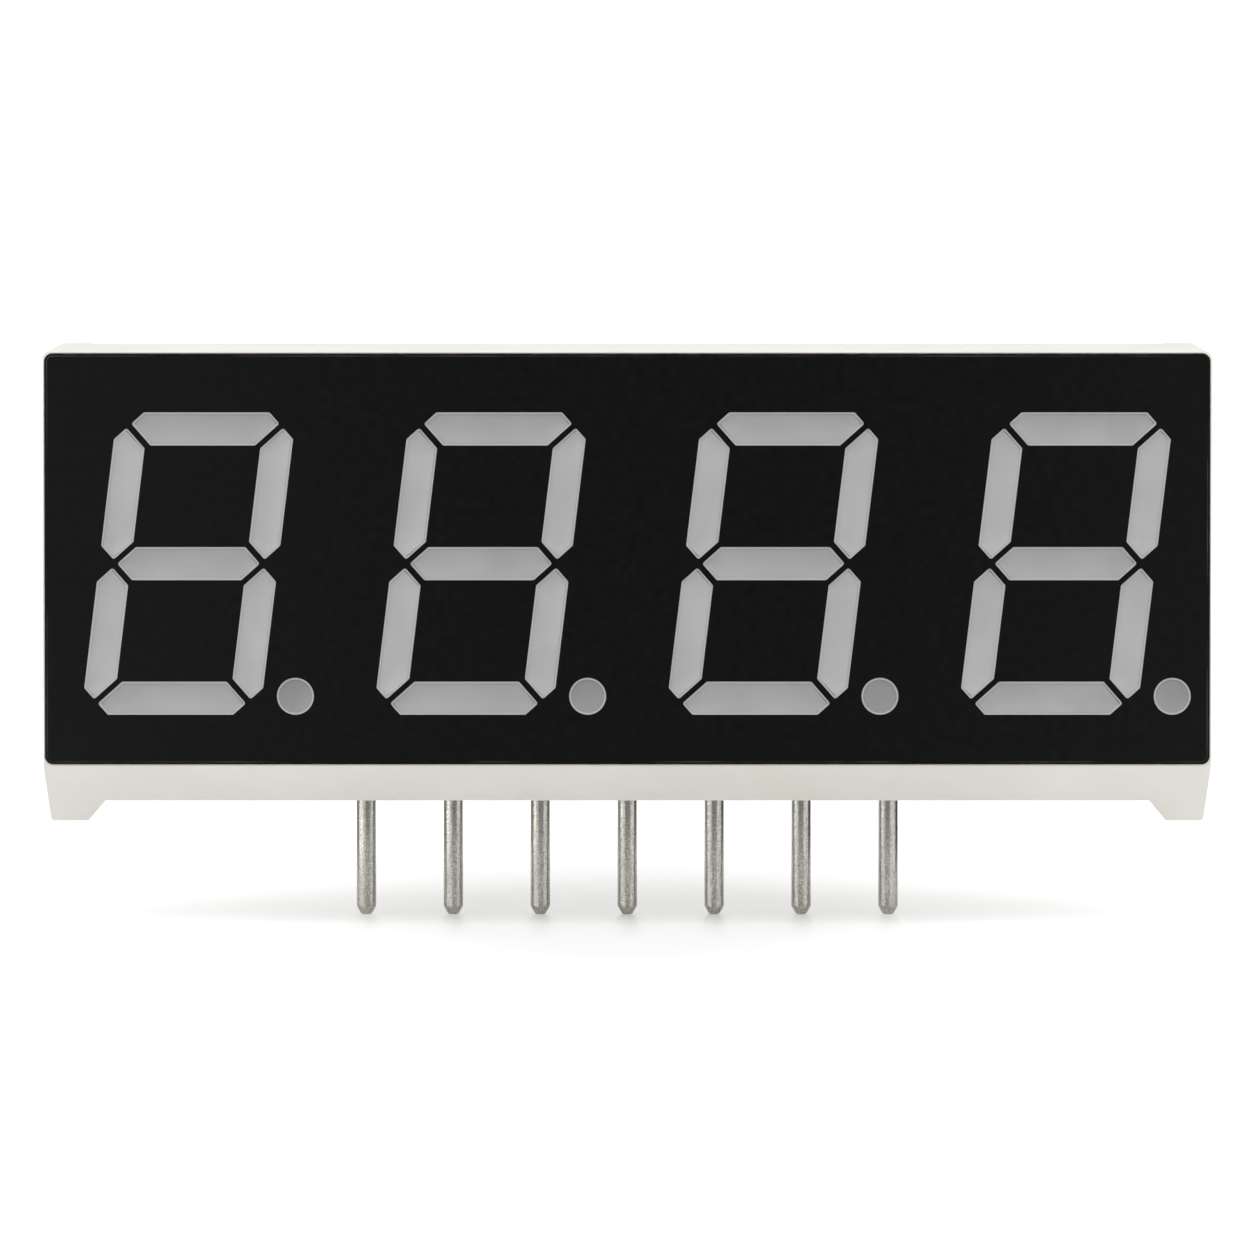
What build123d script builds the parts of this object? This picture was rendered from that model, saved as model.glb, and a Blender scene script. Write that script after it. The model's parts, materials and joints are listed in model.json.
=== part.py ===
from build123d import *
import os
from math import radians, sqrt, tan

# An upright four-digit seven-segment display. Its face stands over one row of round pins.
# X runs along the pin row, the face looks along -Y and Z is up. The origin is on the middle
# pin's axis, in the plane that the two feet sit on.

# Lead pins: a round shank that goes into the board below, and a flattened blade behind the inner board
pin_count = 7
pin_pitch = 2.54
pin_diameter = 0.57
pin_reach = 2.87
pin_tip_length = 0.24
pin_tip_diameter = 0.30
pin_entry = 0.1
blade_width = 0.7
blade_thickness = 0.36
blade_rise = 2.6

# Digits, measured upright, before they are slanted
digit_count = 4
digit_pitch = 8.43
digit_width_share = 0.613
digit_height = 8.73
digit_slant = 6.92
segment_width = 0.92
bar_thickness = 0.96
segment_gap = 0.167
corner_cut = 0.775
joint_inset = 0.41
notch_depth = 0.52
segment_corner_radius = 0.07
point_diameter = 1.07
point_gap = 0.42

# Black face and the windows in it
face_margin_above = 1.745
face_margin_below = 1.485
mask_thickness = 0.2
mask_margin = 0.045
mask_corner_radius = 0.24
mask_edge_radius = 0.05
rim_width = 0.05
rim_recess = 0.02
fill_recess = 0.03

# White housing
housing_depth = 6.8
pocket_depth = 3.0
side_clearance = 0.01
end_draft = 1.0
top_corner_radius = 0.2
front_edge_radius = 0.015
skirt_drop = 1.125
skirt_run = 1.8
foot_height = 0.65
foot_width = 1.07
foot_taper = 0.06
taper_start_share = 0.9
foot_slope = 50.0
foot_corner_radius = 0.12
foot_trim = 0.015
wall_thickness = 0.55
floor_thickness = 0.8
pocket_radius = 0.4
standoff_depth = 0.7
standoff_width = 1.15
throat_share = 0.6

# Inner board, light chips, bond wires, solder and potting
board_thickness = 0.8
board_clearance = 0.1
chip_size = 0.2
chip_thickness = 0.12
wire_span = 0.24
wire_thickness = 0.04
wire_loop_height = 0.3
wire_shoulder = 0.06
solder_width = 1.3
solder_length = 1.6
solder_height = 0.6
solder_chamfer = 0.22
solder_clearance = 0.25
slot_clearance = 0.06
slot_fill_recess = 0.05
potting_recess = 0.3

# Every cut runs this far past the face that it opens
overrun = 0.5

BACK = (0, 1, 0)

# Places that follow from the sizes above
digit_width = digit_pitch * digit_width_share
face_width = digit_count * digit_pitch - 2 * side_clearance
face_height = digit_height + face_margin_above + face_margin_below
underside_z = foot_height
face_bottom_z = underside_z + skirt_drop
top_z = face_bottom_z + face_height
digit_z = face_bottom_z + face_margin_below + digit_height / 2
board_back_y = -blade_thickness / 2
board_front_y = board_back_y - board_thickness
reflector_depth = housing_depth - pocket_depth
housing_front_y = board_front_y - reflector_depth
mask_front_y = housing_front_y - mask_thickness
rim_front_y = mask_front_y + rim_recess
fill_front_y = rim_front_y + fill_recess
housing_back_y = housing_front_y + housing_depth
standoff_back_y = housing_back_y + standoff_depth
potting_back_y = housing_back_y - potting_recess
end_inset = tan(radians(end_draft)) * (housing_back_y - housing_front_y)
pocket_half_width = face_width / 2 - end_inset - wall_thickness
pocket_bottom_z = underside_z + floor_thickness
pocket_top_z = top_z - wall_thickness
shank_top_z = underside_z + pin_entry
blade_top_z = pocket_bottom_z + blade_rise
pin_places = [(index - (pin_count - 1) / 2) * pin_pitch for index in range(pin_count)]


def front_view(y):
    """The plane across the object at y, seen from the front: its axes are X and Z."""
    return Plane(origin=(0, y, 0), x_dir=(1, 0, 0), z_dir=(0, -1, 0))


def carried_back(outline, front_y, back_y):
    """A front-view outline made solid from front_y to back_y."""
    return extrude(front_view(front_y) * outline, amount=back_y - front_y, dir=BACK)


def rectangle(left, right, bottom, top, radius=0):
    """A front-view rectangle, with round corners if it has a radius."""
    size = (right - left, top - bottom)
    place = Pos((left + right) / 2, (bottom + top) / 2)
    return place * (RectangleRounded(*size, radius) if radius else Rectangle(*size))


def block(left, right, front_y, back_y, bottom, top):
    """A plain box between two places on each axis."""
    return carried_back(rectangle(left, right, bottom, top), front_y, back_y)


def mirrored(points, across, up):
    """Outline points mirrored by the two signs, still in turning order."""
    moved = [(across * u, up * z) for u, z in points]
    return moved if across * up > 0 else moved[::-1]


def segment_points():
    """The corners of one upright digit's seven segments, about the middle of its middle bar."""
    side = digit_width / 2
    top = digit_height / 2
    half_bar = bar_thickness / 2
    half_gap = segment_gap / sqrt(2)
    tip_near = (corner_cut - half_gap) / 2
    tip_far = (corner_cut + half_gap) / 2
    bar_inner = side - bar_thickness - half_gap
    middle_tip = side - joint_inset - half_gap
    top_half = [
        (bar_inner, top - bar_thickness),
        (side - tip_far, top - tip_near),
        (side - corner_cut, top),
    ]
    top_bar = top_half + mirrored(top_half, -1, 1)
    upper_right = [
        (side - segment_width, top - segment_width - half_gap),
        (side - segment_width, segment_width + half_gap - joint_inset),
        (side - (joint_inset + notch_depth - half_gap) / 2, (notch_depth + half_gap - joint_inset) / 2),
        (side, notch_depth),
        (side, top - corner_cut),
        (side - tip_near, top - tip_far),
    ]
    middle_half = [
        (middle_tip - half_bar, -half_bar),
        (middle_tip, 0),
        (middle_tip - half_bar, half_bar),
    ]
    return {
        "a": top_bar,
        "b": upper_right,
        "c": mirrored(upper_right, 1, -1),
        "d": mirrored(top_bar, 1, -1),
        "e": mirrored(upper_right, -1, -1),
        "f": mirrored(upper_right, -1, 1),
        "g": middle_half + mirrored(middle_half, -1, 1),
    }


def slanted(u, z):
    """An upright digit's point leaned over by the slant."""
    return (u + z * tan(radians(digit_slant)), z)


def digit_windows():
    """Each digit's eight windows by node name: a place on the face, and an outline about its own middle."""
    point_u = digit_width / 2 + point_gap + point_diameter / 2
    point_z = (point_diameter - digit_height) / 2
    digits = []
    for index in range(digit_count):
        place = Pos((index - (digit_count - 1) / 2) * digit_pitch, digit_z)
        windows = {}
        for letter, points in segment_points().items():
            corners = [Vector(*slanted(*point)) for point in points]
            middle = sum(corners, Vector()) / len(corners)
            outline = Polygon(*[corner - middle for corner in corners], align=None)
            rounded = fillet(outline.vertices(), segment_corner_radius)
            windows[f"digit_{index + 1}_segment_{letter}"] = (place * Pos(middle), rounded)
        dot_place = place * Pos(*slanted(point_u, point_z))
        windows[f"digit_{index + 1}_point"] = (dot_place, Circle(point_diameter / 2))
        digits.append(windows)
    return digits


def opening(window, front_y, back_y):
    """A window's outline made solid from front_y to back_y."""
    place, outline = window
    return carried_back(place * outline, front_y, back_y)


def well(window, front_y):
    """The tapered reflector well behind a window, with its straight mouth reaching to front_y."""
    place, outline = window
    mouth = offset(outline, amount=-rim_width)
    throat = place * scale(mouth, by=throat_share)
    mouth = place * mouth
    sections = [(front_y, mouth), (housing_front_y, mouth), (board_front_y, throat)]
    return loft([front_view(y) * section for y, section in sections], ruled=True)


def housing_outline(side):
    """The housing's front view with its untrimmed feet, for a half width of side."""
    foot_outer = side - foot_taper
    foot_inner = foot_outer - foot_width
    foot_root = foot_inner - (foot_height + foot_trim) / tan(radians(foot_slope))
    half = [
        (foot_root, underside_z),
        (foot_inner, -foot_trim),
        (foot_outer, -foot_trim),
        (side, underside_z + skirt_drop * taper_start_share),
        (side, top_z),
    ]
    outline = Polygon(*(half + mirrored(half, -1, 1)), align=None)
    outline = fillet(outline.vertices().group_by(Axis.Y)[0], foot_corner_radius)
    return fillet(outline.vertices().group_by(Axis.Y)[-1], top_corner_radius)


def housing_shell():
    """The outer form: narrower to the back, flat feet, a sloping skirt, and hollow behind the reflector."""
    side = face_width / 2
    back_side = side - tan(radians(end_draft)) * (standoff_back_y - housing_front_y)
    front = front_view(housing_front_y) * housing_outline(side)
    back = front_view(standoff_back_y) * housing_outline(back_side)
    slope_end_y = housing_front_y + skirt_run * face_bottom_z / skirt_drop
    edge = (housing_front_y, face_bottom_z)
    under_skirt = Polygon(edge, (housing_front_y, 0), (slope_end_y, 0), align=None)
    shell = loft([front, back], ruled=True)
    below = (-overrun, 0)
    shell -= block(-face_width, face_width, housing_front_y - overrun, standoff_back_y + overrun, *below)
    shell -= extrude(Plane.YZ * under_skirt, amount=side + overrun, both=True)
    shell = fillet(shell.faces().sort_by(Axis.Y)[0].edges(), front_edge_radius)
    standoff_side = side - standoff_width
    behind = (housing_back_y, standoff_back_y + overrun)
    shell -= block(-standoff_side, standoff_side, *behind, -overrun, top_z + overrun)
    shell -= block(-face_width, face_width, *behind, foot_height + standoff_width, top_z - standoff_width)
    return shell - carried_back(pocket_outline(), board_front_y, standoff_back_y + overrun)


def pocket_outline(clearance=0):
    """The rectangle inside the walls, or that of a piece that fits in it with a clearance."""
    half_width = pocket_half_width - clearance
    bottom = pocket_bottom_z + clearance
    return rectangle(-half_width, half_width, bottom, pocket_top_z - clearance, pocket_radius - clearance)


def pin_slot(x, bottom, back_y):
    """The way through the floor for one pin, open to the back."""
    half = max(blade_width, pin_diameter) / 2 + slot_clearance
    front_y = -max(blade_thickness, pin_diameter) / 2 - slot_clearance
    return block(x - half, x + half, front_y, back_y, bottom, pocket_bottom_z)


def housing(windows):
    """White moulding: reflector wells, a thin rim in each window, walls, skirt, feet and standoffs."""
    moulding = housing_shell()
    moulding += [opening(window, rim_front_y, housing_front_y) for window in windows]
    moulding -= [well(window, rim_front_y - overrun) for window in windows]
    slot_back = standoff_back_y + overrun
    return moulding - [pin_slot(x, -overrun, slot_back) for x in pin_places]


def face_mask(windows):
    """The black layer on the housing's front, open at every window."""
    side = face_width / 2 - mask_margin
    bottom = face_bottom_z + mask_margin
    outline = rectangle(-side, side, bottom, top_z - mask_margin, mask_corner_radius)
    layer = carried_back(outline, mask_front_y, housing_front_y)
    layer = fillet(layer.faces().sort_by(Axis.Y)[0].edges(), mask_edge_radius)
    through = (mask_front_y - overrun, housing_front_y + overrun)
    return layer - [opening(window, *through) for window in windows]


def chip_plane(name, window):
    """A plane on the board's front, at the middle of a window and along its longer side."""
    middle = window[0].position
    upright = name[-1] in "bcef"
    run = Vector(0, 0, 1) if upright else Vector(1, 0, 0)
    out = Vector(0, -1, 0)
    return Plane(origin=(middle.X, board_front_y, middle.Y), x_dir=run, z_dir=run.cross(out))


def light_chip(plane):
    """One light chip on the board."""
    place = Pos(-wire_span / 2, chip_thickness / 2, 0)
    return plane * place * Box(chip_size, chip_thickness, chip_size)


def bond_wire(plane):
    """The looped wire from a chip's top to the board beside it."""
    start = -wire_span / 2
    end = wire_span / 2
    half = wire_thickness / 2
    low = wire_loop_height - wire_thickness
    loop = Polygon(
        (start - half, chip_thickness),
        (start + half, chip_thickness),
        (start + half, low),
        (start + wire_shoulder, low),
        (end - half, 0),
        (end + half, 0),
        (start + wire_shoulder + half, wire_loop_height),
        (start - half, wire_loop_height),
        align=None,
    )
    return extrude(plane * loop, amount=half, both=True)


def circuit_board():
    """The inner board, against the back of the reflector."""
    return carried_back(pocket_outline(board_clearance), board_front_y, board_back_y)


def pin(x):
    """One lead pin: pointed tip, round shank and flat blade on the board's back."""
    radius = pin_diameter / 2
    tip_top = pin_tip_length - pin_reach
    ground = (Align.CENTER, Align.CENTER, Align.MIN)
    tip = Pos(x, 0, -pin_reach) * Cone(pin_tip_diameter / 2, radius, pin_tip_length, align=ground)
    shank = Pos(x, 0, tip_top) * Cylinder(radius, shank_top_z - tip_top, align=ground)
    half = blade_width / 2
    blade = block(x - half, x + half, board_back_y, -board_back_y, shank_top_z, blade_top_z)
    return tip + shank + blade


def solder_joint(x, lead):
    """The mound of solder that holds a pin's blade to the board."""
    top = blade_top_z + solder_clearance
    half = solder_width / 2
    back_y = board_back_y + solder_height
    mound = block(x - half, x + half, board_back_y, back_y, top - solder_length, top)
    mound = chamfer(mound.faces().sort_by(Axis.Y)[-1].edges(), solder_chamfer)
    return mound - lead


def back_potting(inside):
    """Resin that fills the pocket around everything in it, and the slots around the pins."""
    fill = carried_back(pocket_outline(), board_front_y, potting_back_y)
    bottom = underside_z + slot_fill_recess
    fill += [pin_slot(x, bottom, potting_back_y) for x in pin_places]
    return fill - inside


def model():
    """Every node of the display, by its name."""
    digits = digit_windows()
    windows = [window for digit in digits for window in digit.values()]
    nodes = {"housing": housing(windows), "face_mask": face_mask(windows)}
    for index, digit in enumerate(digits):
        planes = {name: chip_plane(name, window) for name, window in digit.items()}
        chips = {name: light_chip(plane) for name, plane in planes.items()}
        wires = {name: bond_wire(plane) for name, plane in planes.items()}
        for name, window in digit.items():
            nodes[name] = well(window, fill_front_y) - [chips[name], wires[name]]
        nodes[f"digit_{index + 1}_light_chips"] = Compound(list(chips.values()))
        nodes[f"digit_{index + 1}_bond_wires"] = Compound(list(wires.values()))
    board = circuit_board()
    pins = [pin(x) for x in pin_places]
    joints = [solder_joint(x, lead) for x, lead in zip(pin_places, pins)]
    nodes["circuit_board"] = board
    for index, lead in enumerate(pins):
        nodes[f"pin_{index + 1}"] = lead
    nodes["solder_joints"] = Compound(joints)
    nodes["back_potting"] = back_potting([board] + pins + joints)
    return nodes


os.makedirs("parts", exist_ok=True)
for node, shape in model().items():
    export_step(shape, f"parts/{node}.step")
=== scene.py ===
import json
from math import cos, pi, radians, sin

import bmesh
import bpy
from bpy.props import FloatProperty, FloatVectorProperty, IntProperty, PointerProperty
from mathutils import Matrix, Vector


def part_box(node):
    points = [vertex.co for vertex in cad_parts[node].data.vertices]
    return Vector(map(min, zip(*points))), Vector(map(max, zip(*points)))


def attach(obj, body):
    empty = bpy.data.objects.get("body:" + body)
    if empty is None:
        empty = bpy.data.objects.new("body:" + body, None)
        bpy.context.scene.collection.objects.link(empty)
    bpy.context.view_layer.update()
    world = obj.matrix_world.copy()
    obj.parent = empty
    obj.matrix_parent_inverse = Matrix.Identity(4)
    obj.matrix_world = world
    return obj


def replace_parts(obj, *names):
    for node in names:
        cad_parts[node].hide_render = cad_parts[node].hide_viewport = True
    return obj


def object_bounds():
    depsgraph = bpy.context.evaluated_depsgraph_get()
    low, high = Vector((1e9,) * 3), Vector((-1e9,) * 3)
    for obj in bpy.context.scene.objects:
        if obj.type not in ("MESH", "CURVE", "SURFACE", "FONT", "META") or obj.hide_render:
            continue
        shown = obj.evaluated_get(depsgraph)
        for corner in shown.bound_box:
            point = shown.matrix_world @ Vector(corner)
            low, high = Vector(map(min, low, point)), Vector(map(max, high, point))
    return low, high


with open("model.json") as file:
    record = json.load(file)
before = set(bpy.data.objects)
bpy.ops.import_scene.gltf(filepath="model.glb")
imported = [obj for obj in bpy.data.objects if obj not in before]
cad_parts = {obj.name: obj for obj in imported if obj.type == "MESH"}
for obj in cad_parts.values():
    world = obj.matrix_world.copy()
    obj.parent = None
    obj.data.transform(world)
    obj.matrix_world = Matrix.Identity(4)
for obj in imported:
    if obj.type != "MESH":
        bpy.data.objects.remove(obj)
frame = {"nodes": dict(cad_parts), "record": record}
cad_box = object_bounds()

bl_info = {
    "name": "Seven segment display module",
    "version": (1, 0, 0),
    "blender": (4, 5, 0),
    "location": "View3D > Sidebar > Display",
    "description": "Finishes the packed display module and sets up its studio",
    "category": "Object",
}

MM = 0.001
WELD = 0.0001 * MM  # corners nearer than this are one corner
FLAT = radians(0.5)  # faces that meet at less than this are one face
CREASE = radians(32)  # edges sharper than this stay sharp in the shading

DIGITS = range(1, 5)
SEGMENTS = [f"digit_{digit}_segment_{letter}" for digit in DIGITS for letter in "abcdefg"]
UPRIGHTS = "bcef"  # letters of the upright segments
POINTS = [f"digit_{digit}_point" for digit in DIGITS]
PINS = [f"pin_{place}" for place in range(1, 8)]
pin_mount = next(mount for mount in frame["record"]["mounts"] if mount["name"] == "pin_4")


def linear(code):
    """A colour written as sRGB hex, as the linear red, green, blue and alpha that Blender mixes."""
    parts = [int(code[place:place + 2], 16) / 255 for place in (1, 3, 5)]
    return (
        *[part / 12.92 if part <= 0.04045 else ((part + 0.055) / 1.055) ** 2.4 for part in parts],
        1.0,
    )


def length(name, millimetres, description):
    """A length that the user can change, given in millimetres and kept in metres."""
    return FloatProperty(
        name=name,
        description=description,
        default=millimetres * MM,
        min=0,
        unit="LENGTH",
        precision=6,
    )


def tint(name, code, description):
    """A colour that the user can change, given as sRGB hex."""
    return FloatVectorProperty(
        name=name,
        description=description,
        default=linear(code),
        size=4,
        min=0,
        max=1,
        subtype="COLOR",
    )


class DisplaySizes(bpy.types.PropertyGroup):
    """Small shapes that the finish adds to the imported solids."""

    edge_round: length("Edge round", 0.04, "Radius on the moulding's outer edges")
    resin_dish: length("Resin dish", 0.075, "How far the resin sinks in a segment as it cures")
    dish_run: length("Dish run", 0.42, "How far in from a segment's edge the resin keeps sinking")
    pin_diameter: length("Pin diameter", 2 * pin_mount["dims"]["r_mm"], "Diameter of a lead pin")
    pin_tip: length("Pin tip", 0.30, "Diameter of the flat end of a lead pin")
    pin_taper: length("Pin taper", 0.24, "Height of the taper at the end of a lead pin")
    pin_entry: length("Pin entry", 0.75, "Height at which a lead pin's round shank ends")
    blade_thickness: length("Blade thickness", 0.36, "Thickness of a lead pin's flat upper end")
    pin_round: length("Pin round", 0.05, "Radius on the edges of a lead pin")
    pin_sides: IntProperty(
        name="Pin sides", description="Facets round a lead pin", default=64, min=12
    )
    meniscus: length("Meniscus", 0.12, "How far the potting climbs the walls round it")
    meniscus_run: length("Meniscus run", 0.32, "How far in from the walls the potting sinks")


class DisplayColours(bpy.types.PropertyGroup):
    """Colours of the finishes."""

    housing: tint("Housing", "#f5f3ec", "White moulding")
    housing_shade: tint("Housing shade", "#f0ede5", "Flow clouds in the white moulding")
    # Window rims: painted shade, a grey that stands for the shade in their recess.
    shaded_rim: tint("Rim", "#b5b5b3", "Window rims, painted grey as shade in their recess")
    face: tint("Face", "#0a0b0b", "Black face")
    face_haze: tint("Face haze", "#0e0f0f", "Greyer clouds in the black face")
    # Face edge highlight: a painted highlight, the grey line that the face's rounded edge would
    # show.
    face_edge_highlight: tint("Face edge highlight", "#3e4040", "Painted highlight where the face turns over its edge")
    face_wear: tint("Face wear", "#5c4e42", "Plastic showing where the face's edge is rubbed")
    bar: tint("Bar", "#a4a3a3", "Grey resin in the bars")
    bar_shade: tint("Bar shade", "#9e9d9d", "Denser clouds in the bars' resin")
    # Uprights: the bars' grey resin painted lighter, as painted light on the upright segments.
    upright: tint("Upright", "#aeadad", "Grey resin in the upright segments")
    lit_upright_shade: tint("Upright shade", "#a8a7a7", "Denser clouds in the uprights' resin")
    # Points: the grey resin painted darker, as painted shade in the points' small wells.
    point: tint("Point", "#8f8f8f", "Grey resin in the points")
    point_shade: tint("Point shade", "#888888", "Denser clouds in the points' resin")
    tin: tint("Tin", "#bab8b2", "Tin plating on the pins")
    tin_shade: tint("Tin shade", "#98958e", "Oxide in the tin plating")
    potting: tint("Potting", "#d9d3c2", "Resin poured into the back")
    potting_shade: tint("Potting shade", "#d3ccba", "Thicker clouds in the poured resin")
    floor: tint("Floor", "#ececec", "Pale floor")


def add(tree, kind, inputs=None, **settings):
    """Adds a node with its settings, and sets each input or links it to a socket."""
    node = tree.nodes.new(kind)
    for field, value in settings.items():
        setattr(node, field, value)
    for key, value in (inputs or {}).items():
        if isinstance(value, bpy.types.NodeSocket):
            tree.links.new(value, node.inputs[key])
        else:
            node.inputs[key].default_value = value
    return node


def across(size):
    """The scale at which a pattern on Object coordinates has features of this many millimetres."""
    return 1 / (size * MM)


def blank_material(name):
    """A new material and its empty tree."""
    material = bpy.data.materials.new(name)
    material.use_nodes = True
    material.node_tree.nodes.clear()
    return material, material.node_tree


def start_material(name):
    """A new material, its tree and its Object coordinates."""
    material, tree = blank_material(name)
    place = add(tree, "ShaderNodeTexCoord").outputs["Object"]
    return material, tree, place


def clouded(tree, place, size, light, dark, **noise):
    """Clouds of a size in millimetres, and the colour that goes from light to dark in them."""
    clouds = add(
        tree,
        "ShaderNodeTexNoise",
        {"Vector": place, "Scale": across(size), "Detail": 3.0, **noise},
    )
    patch = add(
        tree,
        "ShaderNodeMapRange",
        {"Value": clouds.outputs[0], "From Min": 0.35, "From Max": 0.65},
    )
    colour = add(
        tree, "ShaderNodeMix", {0: patch.outputs[0], 6: light, 7: dark}, data_type="RGBA"
    )
    return clouds.outputs[0], colour.outputs[2]


def moulded_polycarbonate(colours):
    """White moulding, painted grey as shade on the window rims that stand in the face."""
    # Titanium-white polycarbonate from a fine-blasted mould: warm white, satin, with faint flow
    # clouds. The blasted grain of about 0.02 mm is too fine for the render, so it is drawn at
    # 0.09 mm.
    cloud_size, grain_size = 3.5, 0.09
    rim_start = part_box("face_mask")[1].y - 0.02 * MM
    material, tree, place = start_material("moulded_polycarbonate")
    plastic = clouded(tree, place, cloud_size, colours.housing, colours.housing_shade)[1]
    depth = add(tree, "ShaderNodeSeparateXYZ", {0: place})
    proud = add(
        tree, "ShaderNodeMath", {0: depth.outputs[1], 1: rim_start}, operation="LESS_THAN"
    )
    # Window rims in front of the face's back take a grey: painted shade of their recess.
    base = add(
        tree,
        "ShaderNodeMix",
        {0: proud.outputs[0], 6: plastic, 7: colours.shaded_rim},
        data_type="RGBA",
    )
    grain = add(
        tree, "ShaderNodeTexNoise", {"Vector": place, "Scale": across(grain_size), "Detail": 2.0}
    )
    gloss = add(
        tree,
        "ShaderNodeMapRange",
        {
            "Value": grain.outputs[0],
            "From Min": 0.3,
            "From Max": 0.7,
            "To Min": 0.42,
            "To Max": 0.54,
        },
    )
    bump = add(
        tree,
        "ShaderNodeBump",
        {"Height": grain.outputs[0], "Strength": 0.25, "Distance": 0.004 * MM},
    )
    skin = add(
        tree,
        "ShaderNodeBsdfPrincipled",
        {
            "Base Color": base.outputs[2],
            "Roughness": gloss.outputs[0],
            "IOR": 1.58,
            "Specular IOR Level": 0.4,
            "Normal": bump.outputs[0],
        },
    )
    add(tree, "ShaderNodeOutputMaterial", {"Surface": skin.outputs[0]})
    return material


def printed_black(colours):
    """Black face, rubbed brown along its front edge, with a painted highlight where it turns over.
    """
    # Matt black lacquer over the moulding: almost no gloss, a faint orange peel of about 0.25 mm,
    # a rubbed brown edge under 0.03 mm wide and a narrow grey painted highlight 0.08 mm in, where
    # the rounded edge would catch the light.
    peel_size, rub_size, highlight_break_size = 0.25, 0.25, 2.5
    wear_least, wear_most, wear_back = 0.008 * MM, 0.024 * MM, 0.06 * MM
    highlight_inset, highlight_half_width = 0.08 * MM, 0.012 * MM
    corner = 0.24 * MM
    low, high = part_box("face_mask")
    middle = (low + high) / 2
    reach = (high - low) / 2 - Vector((corner, 0, corner))
    material, tree, place = start_material("printed_black")

    # How far in from the face's outline, a rectangle with round corners, a point lies.
    centred = add(tree, "ShaderNodeVectorMath", {0: place, 1: middle}, operation="SUBTRACT")
    folded = add(tree, "ShaderNodeVectorMath", {0: centred.outputs[0]}, operation="ABSOLUTE")
    outward = add(
        tree, "ShaderNodeVectorMath", {0: folded.outputs[0], 1: reach}, operation="SUBTRACT"
    )
    border = add(
        tree,
        "ShaderNodeVectorMath",
        {0: outward.outputs[0], 1: (0.0, 0.0, 0.0)},
        operation="MAXIMUM",
    )
    level = add(
        tree,
        "ShaderNodeVectorMath",
        {0: border.outputs[0], 1: (1.0, 0.0, 1.0)},
        operation="MULTIPLY",
    )
    out = add(tree, "ShaderNodeVectorMath", {0: level.outputs[0]}, operation="LENGTH")
    edge = add(
        tree, "ShaderNodeMath", {0: corner, 1: out.outputs["Value"]}, operation="SUBTRACT"
    )

    # The rubbed edge, on the front only.
    rub = add(
        tree, "ShaderNodeTexNoise", {"Vector": place, "Scale": across(rub_size), "Detail": 4.0}
    )
    width = add(
        tree,
        "ShaderNodeMapRange",
        {
            "Value": rub.outputs[0],
            "From Min": 0.35,
            "From Max": 0.65,
            "To Min": wear_least,
            "To Max": wear_most,
        },
    )
    rubbed = add(
        tree, "ShaderNodeMath", {0: edge.outputs[0], 1: width.outputs[0]}, operation="LESS_THAN"
    )
    behind = add(tree, "ShaderNodeSeparateXYZ", {0: place})
    front = add(
        tree,
        "ShaderNodeMath",
        {0: behind.outputs[1], 1: low.y + wear_back},
        operation="LESS_THAN",
    )
    worn = add(
        tree, "ShaderNodeMath", {0: rubbed.outputs[0], 1: front.outputs[0]}, operation="MULTIPLY"
    )

    # The painted highlight of the rounded edge: a grey line, broken in patches.
    band = add(
        tree,
        "ShaderNodeMath",
        {0: edge.outputs[0], 1: highlight_inset, 2: highlight_half_width},
        operation="COMPARE",
    )
    patchy = add(
        tree, "ShaderNodeTexNoise", {"Vector": place, "Scale": across(highlight_break_size), "Detail": 3.0}
    )
    highlight_breaks = add(
        tree,
        "ShaderNodeMapRange",
        {"Value": patchy.outputs[0], "From Min": 0.45, "From Max": 0.65},
    )
    edge_highlight = add(
        tree, "ShaderNodeMath", {0: band.outputs[0], 1: highlight_breaks.outputs[0]}, operation="MULTIPLY"
    )

    peel, lacquer = clouded(tree, place, peel_size, colours.face, colours.face_haze)
    highlighted = add(
        tree,
        "ShaderNodeMix",
        {0: edge_highlight.outputs[0], 6: lacquer, 7: colours.face_edge_highlight},
        data_type="RGBA",
    )
    base = add(
        tree,
        "ShaderNodeMix",
        {0: worn.outputs[0], 6: highlighted.outputs[2], 7: colours.face_wear},
        data_type="RGBA",
    )
    gloss = add(
        tree,
        "ShaderNodeMapRange",
        {"Value": peel, "From Min": 0.3, "From Max": 0.7, "To Min": 0.46, "To Max": 0.58},
    )
    bump = add(
        tree, "ShaderNodeBump", {"Height": peel, "Strength": 0.2, "Distance": 0.006 * MM}
    )
    skin = add(
        tree,
        "ShaderNodeBsdfPrincipled",
        {
            "Base Color": base.outputs[2],
            "Roughness": gloss.outputs[0],
            "IOR": 1.5,
            "Specular IOR Level": 0.075,
            "Normal": bump.outputs[0],
        },
    )
    add(tree, "ShaderNodeOutputMaterial", {"Surface": skin.outputs[0]})
    return material


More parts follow.
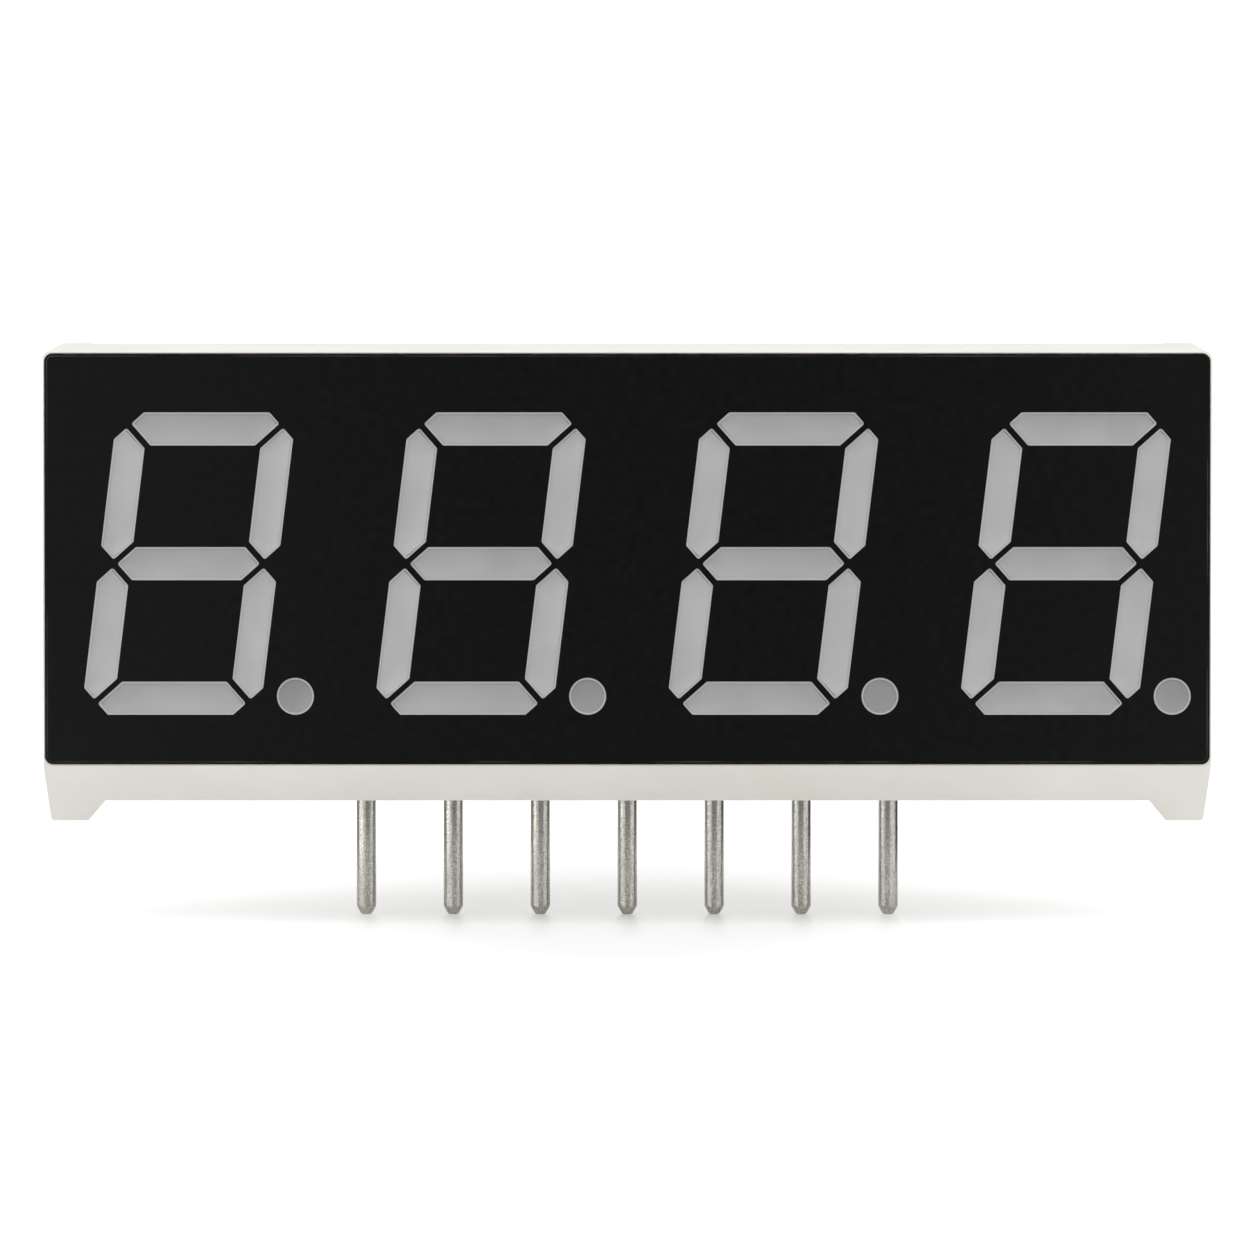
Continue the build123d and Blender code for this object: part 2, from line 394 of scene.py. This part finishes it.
def cast_epoxy(name, colour, shade):
    """Grey diffusing resin in the windows."""
    # Epoxy cast with a light-scattering filler: milky grey, clouded where the filler settled over
    # 1 to 2 mm, with a soft gloss. The filler's grains are far finer than the render and are left
    # out.
    cloud_size, ripple_size = 1.5, 0.6
    material, tree, place = start_material(name)
    base = clouded(tree, place, cloud_size, colour, shade, Detail=2.0, Roughness=0.4)[1]
    ripple = add(
        tree, "ShaderNodeTexNoise", {"Vector": place, "Scale": across(ripple_size), "Detail": 1.0}
    )
    bump = add(
        tree,
        "ShaderNodeBump",
        {"Height": ripple.outputs[0], "Strength": 0.15, "Distance": 0.01 * MM},
    )
    skin = add(
        tree,
        "ShaderNodeBsdfPrincipled",
        {
            "Base Color": base,
            "Roughness": 0.42,
            "IOR": 1.52,
            "Specular IOR Level": 0.3,
            "Normal": bump.outputs[0],
        },
    )
    add(tree, "ShaderNodeOutputMaterial", {"Surface": skin.outputs[0]})
    return material


def tinned_steel(colours):
    """Tin plating on the lead pins."""
    # Drawn steel wire dipped in tin: grey satin metal, speckled where the tin froze in grains of
    # about 0.05 mm, with drawing marks along the wire and dull patches of oxide.
    grain_size, mark_size = 0.05, 0.05
    mark_stretch, mark_share = 0.12, 0.4
    material, tree, place = start_material("tinned_steel")
    frozen = add(
        tree,
        "ShaderNodeTexNoise",
        {"Vector": place, "Scale": across(grain_size), "Detail": 4.0, "Roughness": 0.6},
    )
    drawn = add(
        tree, "ShaderNodeMapping", {"Vector": place, "Scale": (1.0, 1.0, mark_stretch)}
    )
    marks = add(
        tree,
        "ShaderNodeTexNoise",
        {"Vector": drawn.outputs[0], "Scale": across(mark_size), "Detail": 2.0},
    )
    both = add(
        tree,
        "ShaderNodeMath",
        {0: marks.outputs[0], 1: mark_share, 2: frozen.outputs[0]},
        operation="MULTIPLY_ADD",
    )
    dull = add(
        tree,
        "ShaderNodeMapRange",
        {"Value": both.outputs[0], "From Min": 0.58, "From Max": 0.84},
    )
    base = add(
        tree,
        "ShaderNodeMix",
        {0: dull.outputs[0], 6: colours.tin, 7: colours.tin_shade},
        data_type="RGBA",
    )
    gloss = add(
        tree, "ShaderNodeMapRange", {"Value": dull.outputs[0], "To Min": 0.16, "To Max": 0.3}
    )
    bump = add(
        tree,
        "ShaderNodeBump",
        {"Height": both.outputs[0], "Strength": 0.5, "Distance": 0.005 * MM},
    )
    skin = add(
        tree,
        "ShaderNodeBsdfPrincipled",
        {
            "Base Color": base.outputs[2],
            "Metallic": 1.0,
            "Roughness": gloss.outputs[0],
            "Normal": bump.outputs[0],
        },
    )
    add(tree, "ShaderNodeOutputMaterial", {"Surface": skin.outputs[0]})
    return material


def poured_epoxy(colours):
    """Potting in the back."""
    # Cream epoxy poured in and left to level: glossy, with slow waves of about 3 mm and small pits
    # of about 0.3 mm where bubbles broke.
    wave_size, wave_share = 3.0, 3.0
    pit_pitch, pit_share = 1.6, 0.12
    material, tree, place = start_material("poured_epoxy")
    waves, base = clouded(tree, place, wave_size, colours.potting, colours.potting_shade)
    bubbles = add(tree, "ShaderNodeTexVoronoi", {"Vector": place, "Scale": across(pit_pitch)})
    pits = add(
        tree,
        "ShaderNodeMapRange",
        {
            "Value": bubbles.outputs["Distance"],
            "From Max": pit_share,
            "To Min": -1.0,
            "To Max": 0.0,
        },
    )
    height = add(
        tree,
        "ShaderNodeMath",
        {0: waves, 1: wave_share, 2: pits.outputs[0]},
        operation="MULTIPLY_ADD",
    )
    bump = add(
        tree,
        "ShaderNodeBump",
        {"Height": height.outputs[0], "Strength": 0.6, "Distance": 0.03 * MM},
    )
    skin = add(
        tree,
        "ShaderNodeBsdfPrincipled",
        {"Base Color": base, "Roughness": 0.22, "IOR": 1.53, "Normal": bump.outputs[0]},
    )
    add(tree, "ShaderNodeOutputMaterial", {"Surface": skin.outputs[0]})
    return material


def inner_finish(name, light, dark, grain, metallic, roughness):
    """A finish for a sealed piece: two colours in patches of a real size, over a fine bump."""
    material, tree, place = start_material(name)
    patches, base = clouded(tree, place, grain, linear(light), linear(dark))
    bump = add(
        tree,
        "ShaderNodeBump",
        {"Height": patches, "Strength": 0.3, "Distance": 0.02 * grain * MM},
    )
    skin = add(
        tree,
        "ShaderNodeBsdfPrincipled",
        {
            "Base Color": base,
            "Metallic": metallic,
            "Roughness": roughness,
            "Normal": bump.outputs[0],
        },
    )
    add(tree, "ShaderNodeOutputMaterial", {"Surface": skin.outputs[0]})
    return material


def merged_copy(node):
    """A CAD node's triangles, joined up and with its flat faces made whole."""
    work = bmesh.new()
    work.from_mesh(frame["nodes"][node].data)
    bmesh.ops.remove_doubles(work, verts=work.verts, dist=WELD)
    bmesh.ops.dissolve_limit(work, angle_limit=FLAT, verts=work.verts, edges=work.edges)
    return work


def finished_piece(name, work, material, slot, *nodes):
    """The object that stands for CAD nodes, smooth but for its sharp edges."""
    mesh = bpy.data.meshes.new(name)
    work.to_mesh(mesh)
    work.free()
    if "custom_normal" in mesh.attributes:
        mesh.attributes.remove(mesh.attributes["custom_normal"])
    mesh.materials.append(material)
    mesh.polygons.foreach_set("use_smooth", [True] * len(mesh.polygons))
    mesh.set_sharp_from_angle(angle=CREASE)
    piece = bpy.data.objects.new(name, mesh)
    bpy.context.scene.collection.objects.link(piece)
    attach(piece, "root")
    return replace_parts(piece, *nodes)


def coat(node, material):
    """A CAD node kept as it is, with a new finish."""
    slots = frame["nodes"][node].data.materials
    slots.clear()
    slots.append(material)


def rounded(work, edges, radius, steps):
    """Rounds edges off to a radius, in so many facets."""
    bmesh.ops.bevel(
        work,
        geom=edges,
        offset=radius,
        offset_type="OFFSET",
        segments=steps,
        profile=0.5,
        affect="EDGES",
        clamp_overlap=True,
        material=-1,
    )


def dished(work, face, run, depth, steps):
    """Sinks a flat face into a shallow dish, steepest at its edge."""
    sunk = 0
    for step in range(steps):
        reached = depth * (1 - (1 - (step + 1) / steps) ** 2)
        bmesh.ops.inset_region(
            work,
            faces=[face],
            use_boundary=True,
            use_even_offset=True,
            thickness=run / steps,
            depth=sunk - reached,
        )
        sunk = reached


def front_face(work):
    """The face that lies furthest to the front."""
    return min(work.faces, key=lambda face: face.calc_center_median().y)


def front_dished(work, face, run, depth, pitch):
    """Cuts a convex front face into squares and sinks them into a dish, steepest at its edge."""
    out = face.normal.copy()
    sides = []
    for loop in face.loops:
        start, end = loop.vert.co.copy(), loop.link_loop_next.vert.co.copy()
        sides.append((start, out.cross(end - start).normalized()))
    corners = [start for start, inward in sides]
    region = [face, *face.edges, *face.verts]
    for axis in (0, 2):
        low = min(corner[axis] for corner in corners)
        high = max(corner[axis] for corner in corners)
        cuts = int((high - low) / pitch)
        normal = Vector((axis == 0, 0, axis == 2))
        for cut in range(1, cuts):
            place = normal * (low + (high - low) * cut / cuts)
            region = bmesh.ops.bisect_plane(
                work, geom=region, dist=WELD, plane_co=place, plane_no=normal
            )["geom"]
    for vert in {part for part in region if isinstance(part, bmesh.types.BMVert)}:
        inside = min((vert.co - start).dot(inward) for start, inward in sides)
        share = min(max(inside, 0) / run, 1)
        vert.co -= out * depth * (1 - (1 - share) ** 2)


class DISPLAY_OT_mould_housing(bpy.types.Operator):
    """Rounds the outer edges of the white moulding and gives it its plastic"""

    bl_idname = "display.mould_housing"
    bl_label = "Mould housing"

    def execute(self, context):
        sizes = context.scene.display_sizes
        margin = 0.3 * MM
        work = merged_copy("housing")
        low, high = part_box("housing")
        floor_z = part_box("back_potting")[0].z
        board_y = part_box("circuit_board")[0].y

        def outside(corner):
            behind = corner.y > board_y + margin
            side = abs(corner.x) > high.x - margin
            end = corner.z > high.z - margin or corner.z < floor_z
            return behind or ((side or end) and corner.y > low.y + margin)

        edges = [
            edge
            for edge in work.edges
            if edge.is_manifold
            and edge.is_convex
            and edge.calc_face_angle() > CREASE
            and all(outside(vert.co) for vert in edge.verts)
        ]
        rounded(work, edges, sizes.edge_round, steps=3)
        plastic = moulded_polycarbonate(context.scene.display_colours)
        finished_piece("white_housing", work, plastic, "white_housing", "housing")
        return {"FINISHED"}


class DISPLAY_OT_print_face(bpy.types.Operator):
    """Gives the black face its lacquer"""

    bl_idname = "display.print_face"
    bl_label = "Print face"

    def execute(self, context):
        coat("face_mask", printed_black(context.scene.display_colours))
        return {"FINISHED"}


class DISPLAY_OT_cast_segments(bpy.types.Operator):
    """Casts the grey resin into every segment and point, each sunk into a shallow dish"""

    bl_idname = "display.cast_segments"
    bl_label = "Cast segments"

    def execute(self, context):
        sizes = context.scene.display_sizes
        colours = context.scene.display_colours
        corner_facet = 0.045 * MM
        square = 0.09 * MM
        grey = cast_epoxy("cast_grey_epoxy", colours.bar, colours.bar_shade)
        # The uprights' resin is the bars' resin painted lighter: painted light.
        pale = cast_epoxy("cast_epoxy_painted_light", colours.upright, colours.lit_upright_shade)
        # The points' resin is the same grey resin painted darker: painted shade.
        dark = cast_epoxy("cast_epoxy_painted_shade", colours.point, colours.point_shade)
        for node in SEGMENTS + POINTS:
            work = merged_copy(node)
            # The short facets of the front's round corners are merged first.
            bmesh.ops.remove_doubles(work, verts=front_face(work).verts, dist=corner_facet)
            front_dished(work, front_face(work), sizes.dish_run, sizes.resin_dish, square)
            if node in POINTS:
                resin = dark
            elif node[-1] in UPRIGHTS:
                resin = pale
            else:
                resin = grey
            finished_piece(f"{node}_resin", work, resin, "segment_resin", node)
        return {"FINISHED"}


class DISPLAY_OT_form_pins(bpy.types.Operator):
    """Turns the seven lead pins, each with its tapered end and its flat upper blade"""

    bl_idname = "display.form_pins"
    bl_label = "Form pins"

    def execute(self, context):
        sizes = context.scene.display_sizes
        radius = sizes.pin_diameter / 2
        rim_angle = radians(20)
        tin = tinned_steel(context.scene.display_colours)
        for node in PINS:
            low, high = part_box(node)
            middle = (low + high) / 2
            profile = [
                (0, low.z),
                (sizes.pin_tip / 2, low.z),
                (radius, low.z + sizes.pin_taper),
                (radius, sizes.pin_entry),
                (0, sizes.pin_entry),
            ]
            work = bmesh.new()
            line = [work.verts.new((middle.x + out, 0, up)) for out, up in profile]
            edges = [work.edges.new(pair) for pair in zip(line, line[1:])]
            bmesh.ops.spin(
                work,
                geom=line + edges,
                cent=(middle.x, 0, 0),
                axis=(0, 0, 1),
                angle=2 * pi,
                steps=sizes.pin_sides,
                use_merge=True,
            )
            bmesh.ops.remove_doubles(work, verts=work.verts, dist=WELD)
            bmesh.ops.recalc_face_normals(work, faces=work.faces)
            rims = [
                edge
                for edge in work.edges
                if abs(edge.verts[0].co.z - edge.verts[1].co.z) < WELD
                and edge.calc_face_angle() > rim_angle
                and edge.verts[0].co.z < 0
            ]
            rounded(work, rims, sizes.pin_round, steps=4)
            size = Vector((high.x - low.x, sizes.blade_thickness, high.z - sizes.pin_entry))
            place = Vector((middle.x, 0, (high.z + sizes.pin_entry) / 2))
            blade = bmesh.ops.create_cube(
                work, size=1, matrix=Matrix.Translation(place) @ Matrix.Diagonal((*size, 1))
            )
            sides = {edge for vert in blade["verts"] for edge in vert.link_edges}
            rounded(work, list(sides), sizes.pin_round, steps=2)
            finished_piece(f"lead_{node}", work, tin, "tinned_pin", node)
        return {"FINISHED"}


class DISPLAY_OT_pour_potting(bpy.types.Operator):
    """Pours the resin into the back, higher along the walls and the pins' slots"""

    bl_idname = "display.pour_potting"
    bl_label = "Pour potting"

    def execute(self, context):
        sizes = context.scene.display_sizes
        work = merged_copy("back_potting")
        back = max(work.faces, key=lambda face: face.calc_center_median().y + face.calc_area())
        dished(work, back, sizes.meniscus_run, sizes.meniscus, steps=5)
        resin = poured_epoxy(context.scene.display_colours)
        finished_piece("poured_potting", work, resin, "potting_resin", "back_potting")
        return {"FINISHED"}


class DISPLAY_OT_finish_inside(bpy.types.Operator):
    """Gives the sealed board, chips, wires and solder their materials"""

    bl_idname = "display.finish_inside"
    bl_label = "Finish inside"

    def execute(self, context):
        # Glass cloth in epoxy under a green solder resist: the cloth shows as a faint mottle of
        # 0.5 mm.
        laminate = inner_finish("resist_on_laminate", "#3f8155", "#376f4a", 0.5, 0.0, 0.45)
        # Sawn gallium phosphide: dark amber, glassy, streaked by the saw every 0.03 mm.
        chip = inner_finish("sawn_phosphide", "#8a5a2b", "#6b4420", 0.03, 0.0, 0.2)
        # Drawn gold wire: bright yellow metal with drawing marks about 0.01 mm apart.
        gold = inner_finish("drawn_gold", "#e6bf62", "#c99c3e", 0.01, 1.0, 0.25)
        # Wave-soldered tin: bright grey metal, frosted in patches of 0.3 mm.
        solder = inner_finish("frozen_solder", "#c9c7c1", "#a9a69f", 0.3, 1.0, 0.3)
        coat("circuit_board", laminate)
        coat("solder_joints", solder)
        for digit in DIGITS:
            coat(f"digit_{digit}_light_chips", chip)
            coat(f"digit_{digit}_bond_wires", gold)
        return {"FINISHED"}


FLOOR_SIZE = 6  # metres
FLOOR_SEEN = "#bcbcbc"  # the floor's grey below its glow
# Painted light: the floor's glow is least in the middle and grows outwards, lightening the part's
# shadow towards its ends.
PAINTED_LIGHT_REACH = (16, 45)  # millimetres, sideways and in depth, to where the glow is full
PAINTED_LIGHT_START = 0.3  # share of that reach within which the glow is least
PAINTED_LIGHT_LEAST, PAINTED_LIGHT_MOST = 0.49, 0.74
POLISH_REACH = (17, 10)  # millimetres, sideways and in depth, to where the gloss ends
POLISH_SHARE, POLISH_ROUGHNESS = 0.5, 0.28
ROOM_LIGHT, ROOM_SEEN = 0.38, 1.0  # strength of the room's light, and of the room when seen

LAMP_SPREAD = radians(60)
# Each lamp's name, strength and the direction that it shines in.
LAMPS = (
    ("soft_key_left", 1.18, (0.8, 0.75, -0.6)),
    ("soft_key_right", 1.05, (-0.8, 0.75, -0.6)),
    ("soft_top", 0.98, (0.0, 0.25, -1.0)),
    ("soft_rim", 0.18, (0.0, -0.8, -1.0)),
)
# Each card's name, its foot in millimetres, its turn in degrees, its width and height in
# millimetres and its brightness.
CARDS = (
    ("dark_card_front", (3, -22), 0, 28, 44, 0.24),
    ("bright_card_left", (-21, -7), -71, 14, 5, 2.4),
    ("bright_card_right", (20, -10), 64, 12, 5, 1.4),
    ("dark_card_left", (-20, 12), -90, 22, 22, 0.4),
    ("dark_card_right", (20, 12), 90, 22, 22, 0.1),
)

CAMERA_TARGET = Vector((-0.007, -1.2, 5.593)) * MM
CAMERA_DISTANCE = 400 * MM
CAMERA_TILT = radians(3.077)
FOCAL_LENGTH, SENSOR_WIDTH = 394.5, 36  # millimetres
CLIP_START, CLIP_END = 0.01, 50  # metres


class DISPLAY_OT_set_stage(bpy.types.Operator):
    """Sets up the pale floor, the soft light and the camera"""

    bl_idname = "display.set_stage"
    bl_label = "Set stage"

    def execute(self, context):
        scene = context.scene
        scene.view_settings.view_transform = "Standard"
        self.lay_floor(scene)
        self.fill_room(scene)
        for lamp in LAMPS:
            self.hang_lamp(scene, *lamp)
        for card in CARDS:
            self.stand_card(scene, *card)
        self.aim_camera(scene)
        return {"FINISHED"}

    def seen(self, tree):
        """1 for rays that show the background itself: camera, mirror and see-through rays."""
        path = add(tree, "ShaderNodeLightPath")
        shown = path.outputs["Is Camera Ray"]
        for kind in ("Is Glossy Ray", "Is Transmission Ray"):
            either = add(
                tree, "ShaderNodeMath", {0: shown, 1: path.outputs[kind]}, operation="MAXIMUM"
            )
            shown = either.outputs[0]
        return shown

    def outwards(self, tree, place, reach):
        """How far out on the floor a point lies: 0 in the middle, 1 on an ellipse of this reach."""
        wide, deep = reach
        scaled = add(
            tree,
            "ShaderNodeVectorMath",
            {0: place, 1: (across(wide), across(deep), 0.0)},
            operation="MULTIPLY",
        )
        far = add(tree, "ShaderNodeVectorMath", {0: scaled.outputs[0]}, operation="LENGTH")
        return far.outputs["Value"]

    def lay_sheet(self, scene, name, size, matrix, material):
        """A flat sheet that belongs to the stage."""
        work = bmesh.new()
        bmesh.ops.create_grid(work, x_segments=1, y_segments=1, size=size, matrix=matrix)
        mesh = bpy.data.meshes.new(name)
        work.to_mesh(mesh)
        work.free()
        mesh.materials.append(material)
        sheet = bpy.data.objects.new(name, mesh)
        scene.collection.objects.link(sheet)
        return sheet

    def lay_floor(self, scene):
        """The pale floor that the part stands on."""
        # Coated white card: seen rays find a grey that takes the part's shadow, below a glow that
        # is even in the middle and grows outwards as painted light, lightening that shadow towards
        # the part's ends, and a gloss near the pins that mirrors their tips.
        # Other rays find plain pale card.
        material, tree, place = start_material("pale_floor")
        plain = add(tree, "ShaderNodeBsdfDiffuse", {"Color": scene.display_colours.floor})
        # Painted light: this glow strength grows from the middle outwards and lightens the shadow
        # at the ends.
        white = add(
            tree,
            "ShaderNodeMapRange",
            {
                "Value": self.outwards(tree, place, PAINTED_LIGHT_REACH),
                "From Min": PAINTED_LIGHT_START,
                "From Max": 1.0,
                "To Min": PAINTED_LIGHT_LEAST,
                "To Max": PAINTED_LIGHT_MOST,
            },
        )
        grey = add(tree, "ShaderNodeBsdfDiffuse", {"Color": linear(FLOOR_SEEN)})
        glow = add(tree, "ShaderNodeEmission", {"Strength": white.outputs[0]})
        matt = add(tree, "ShaderNodeAddShader", {0: grey.outputs[0], 1: glow.outputs[0]})
        near = add(
            tree,
            "ShaderNodeMapRange",
            {
                "Value": self.outwards(tree, place, POLISH_REACH),
                "To Min": POLISH_SHARE,
                "To Max": 0.0,
            },
        )
        polish = add(
            tree,
            "ShaderNodeBsdfAnisotropic",
            {"Color": linear("#ffffff"), "Roughness": POLISH_ROUGHNESS},
        )
        coated = add(
            tree,
            "ShaderNodeMixShader",
            {0: near.outputs[0], 1: matt.outputs[0], 2: polish.outputs[0]},
        )
        shown = add(
            tree,
            "ShaderNodeMixShader",
            {0: self.seen(tree), 1: plain.outputs[0], 2: coated.outputs[0]},
        )
        add(tree, "ShaderNodeOutputMaterial", {"Surface": shown.outputs[0]})
        level = Matrix.Translation((0, 0, cad_box[0].z))
        self.lay_sheet(scene, "floor", FLOOR_SIZE, level, material)

    def fill_room(self, scene):
        """Even light from all round, and white where the room itself is seen."""
        world = bpy.data.worlds.new("soft_studio")
        scene.world = world
        world.use_nodes = True
        tree = world.node_tree
        tree.nodes.clear()
        strength = add(
            tree,
            "ShaderNodeMapRange",
            {"Value": self.seen(tree), "To Min": ROOM_LIGHT, "To Max": ROOM_SEEN},
        )
        sky = add(tree, "ShaderNodeBackground", {"Strength": strength.outputs[0]})
        add(tree, "ShaderNodeOutputWorld", {"Surface": sky.outputs[0]})

    def hang_lamp(self, scene, name, strength, aim):
        """A wide soft lamp, far off, that shines along aim."""
        lamp = bpy.data.lights.new(name, "SUN")
        lamp.energy = strength
        lamp.angle = LAMP_SPREAD
        lit = bpy.data.objects.new(name, lamp)
        lit.rotation_euler = Vector(aim).to_track_quat("-Z", "Y").to_euler()
        scene.collection.objects.link(lit)

    def stand_card(self, scene, name, place, turn, width, height, strength):
        """A card that only reflections show, standing on the floor."""
        foot = Matrix.Translation((place[0] * MM, place[1] * MM, cad_box[0].z + height / 2 * MM))
        upright = Matrix.Rotation(radians(turn), 4, "Z") @ Matrix.Rotation(radians(90), 4, "X")
        size = Matrix.Diagonal((width / 2 * MM, height / 2 * MM, 1, 1))
        material, tree = blank_material(name)
        glow = add(tree, "ShaderNodeEmission", {"Strength": strength})
        add(tree, "ShaderNodeOutputMaterial", {"Surface": glow.outputs[0]})
        card = self.lay_sheet(scene, name, 1, foot @ upright @ size, material)
        card.visible_camera = card.visible_diffuse = False
        card.visible_transmission = card.visible_shadow = False

    def aim_camera(self, scene):
        """The camera at the photograph's viewing angle."""
        lens = bpy.data.cameras.new("camera")
        lens.lens = FOCAL_LENGTH
        lens.sensor_width = SENSOR_WIDTH
        lens.clip_start = CLIP_START
        lens.clip_end = CLIP_END
        camera = bpy.data.objects.new("camera", lens)
        away = Vector((0, -cos(CAMERA_TILT), sin(CAMERA_TILT)))
        camera.location = CAMERA_TARGET + CAMERA_DISTANCE * away
        camera.rotation_euler = (-away).to_track_quat("-Z", "Y").to_euler()
        scene.collection.objects.link(camera)
        scene.camera = camera


OPERATORS = (
    DISPLAY_OT_mould_housing,
    DISPLAY_OT_print_face,
    DISPLAY_OT_cast_segments,
    DISPLAY_OT_form_pins,
    DISPLAY_OT_pour_potting,
    DISPLAY_OT_finish_inside,
    DISPLAY_OT_set_stage,
)


class DISPLAY_PT_build(bpy.types.Panel):
    """Lists the display's pieces, sizes and colours"""

    bl_label = "Seven segment display"
    bl_idname = "DISPLAY_PT_build"
    bl_space_type = "VIEW_3D"
    bl_region_type = "UI"
    bl_category = "Display"

    def draw(self, context):
        for operator in OPERATORS:
            self.layout.operator(operator.bl_idname)
        for group in (context.scene.display_sizes, context.scene.display_colours):
            box = self.layout.box()
            for field in group.__annotations__:
                box.prop(group, field)


CLASSES = (DisplaySizes, DisplayColours, *OPERATORS, DISPLAY_PT_build)


def register():
    for kind in CLASSES:
        bpy.utils.register_class(kind)
    bpy.types.Scene.display_sizes = PointerProperty(type=DisplaySizes)
    bpy.types.Scene.display_colours = PointerProperty(type=DisplayColours)


def unregister():
    del bpy.types.Scene.display_colours
    del bpy.types.Scene.display_sizes
    for kind in reversed(CLASSES):
        bpy.utils.unregister_class(kind)


def main():
    register()
    bpy.ops.display.mould_housing()
    bpy.ops.display.print_face()
    bpy.ops.display.cast_segments()
    bpy.ops.display.form_pins()
    bpy.ops.display.pour_potting()
    bpy.ops.display.finish_inside()
    bpy.ops.display.set_stage()


if __name__ == "__main__":
    main()
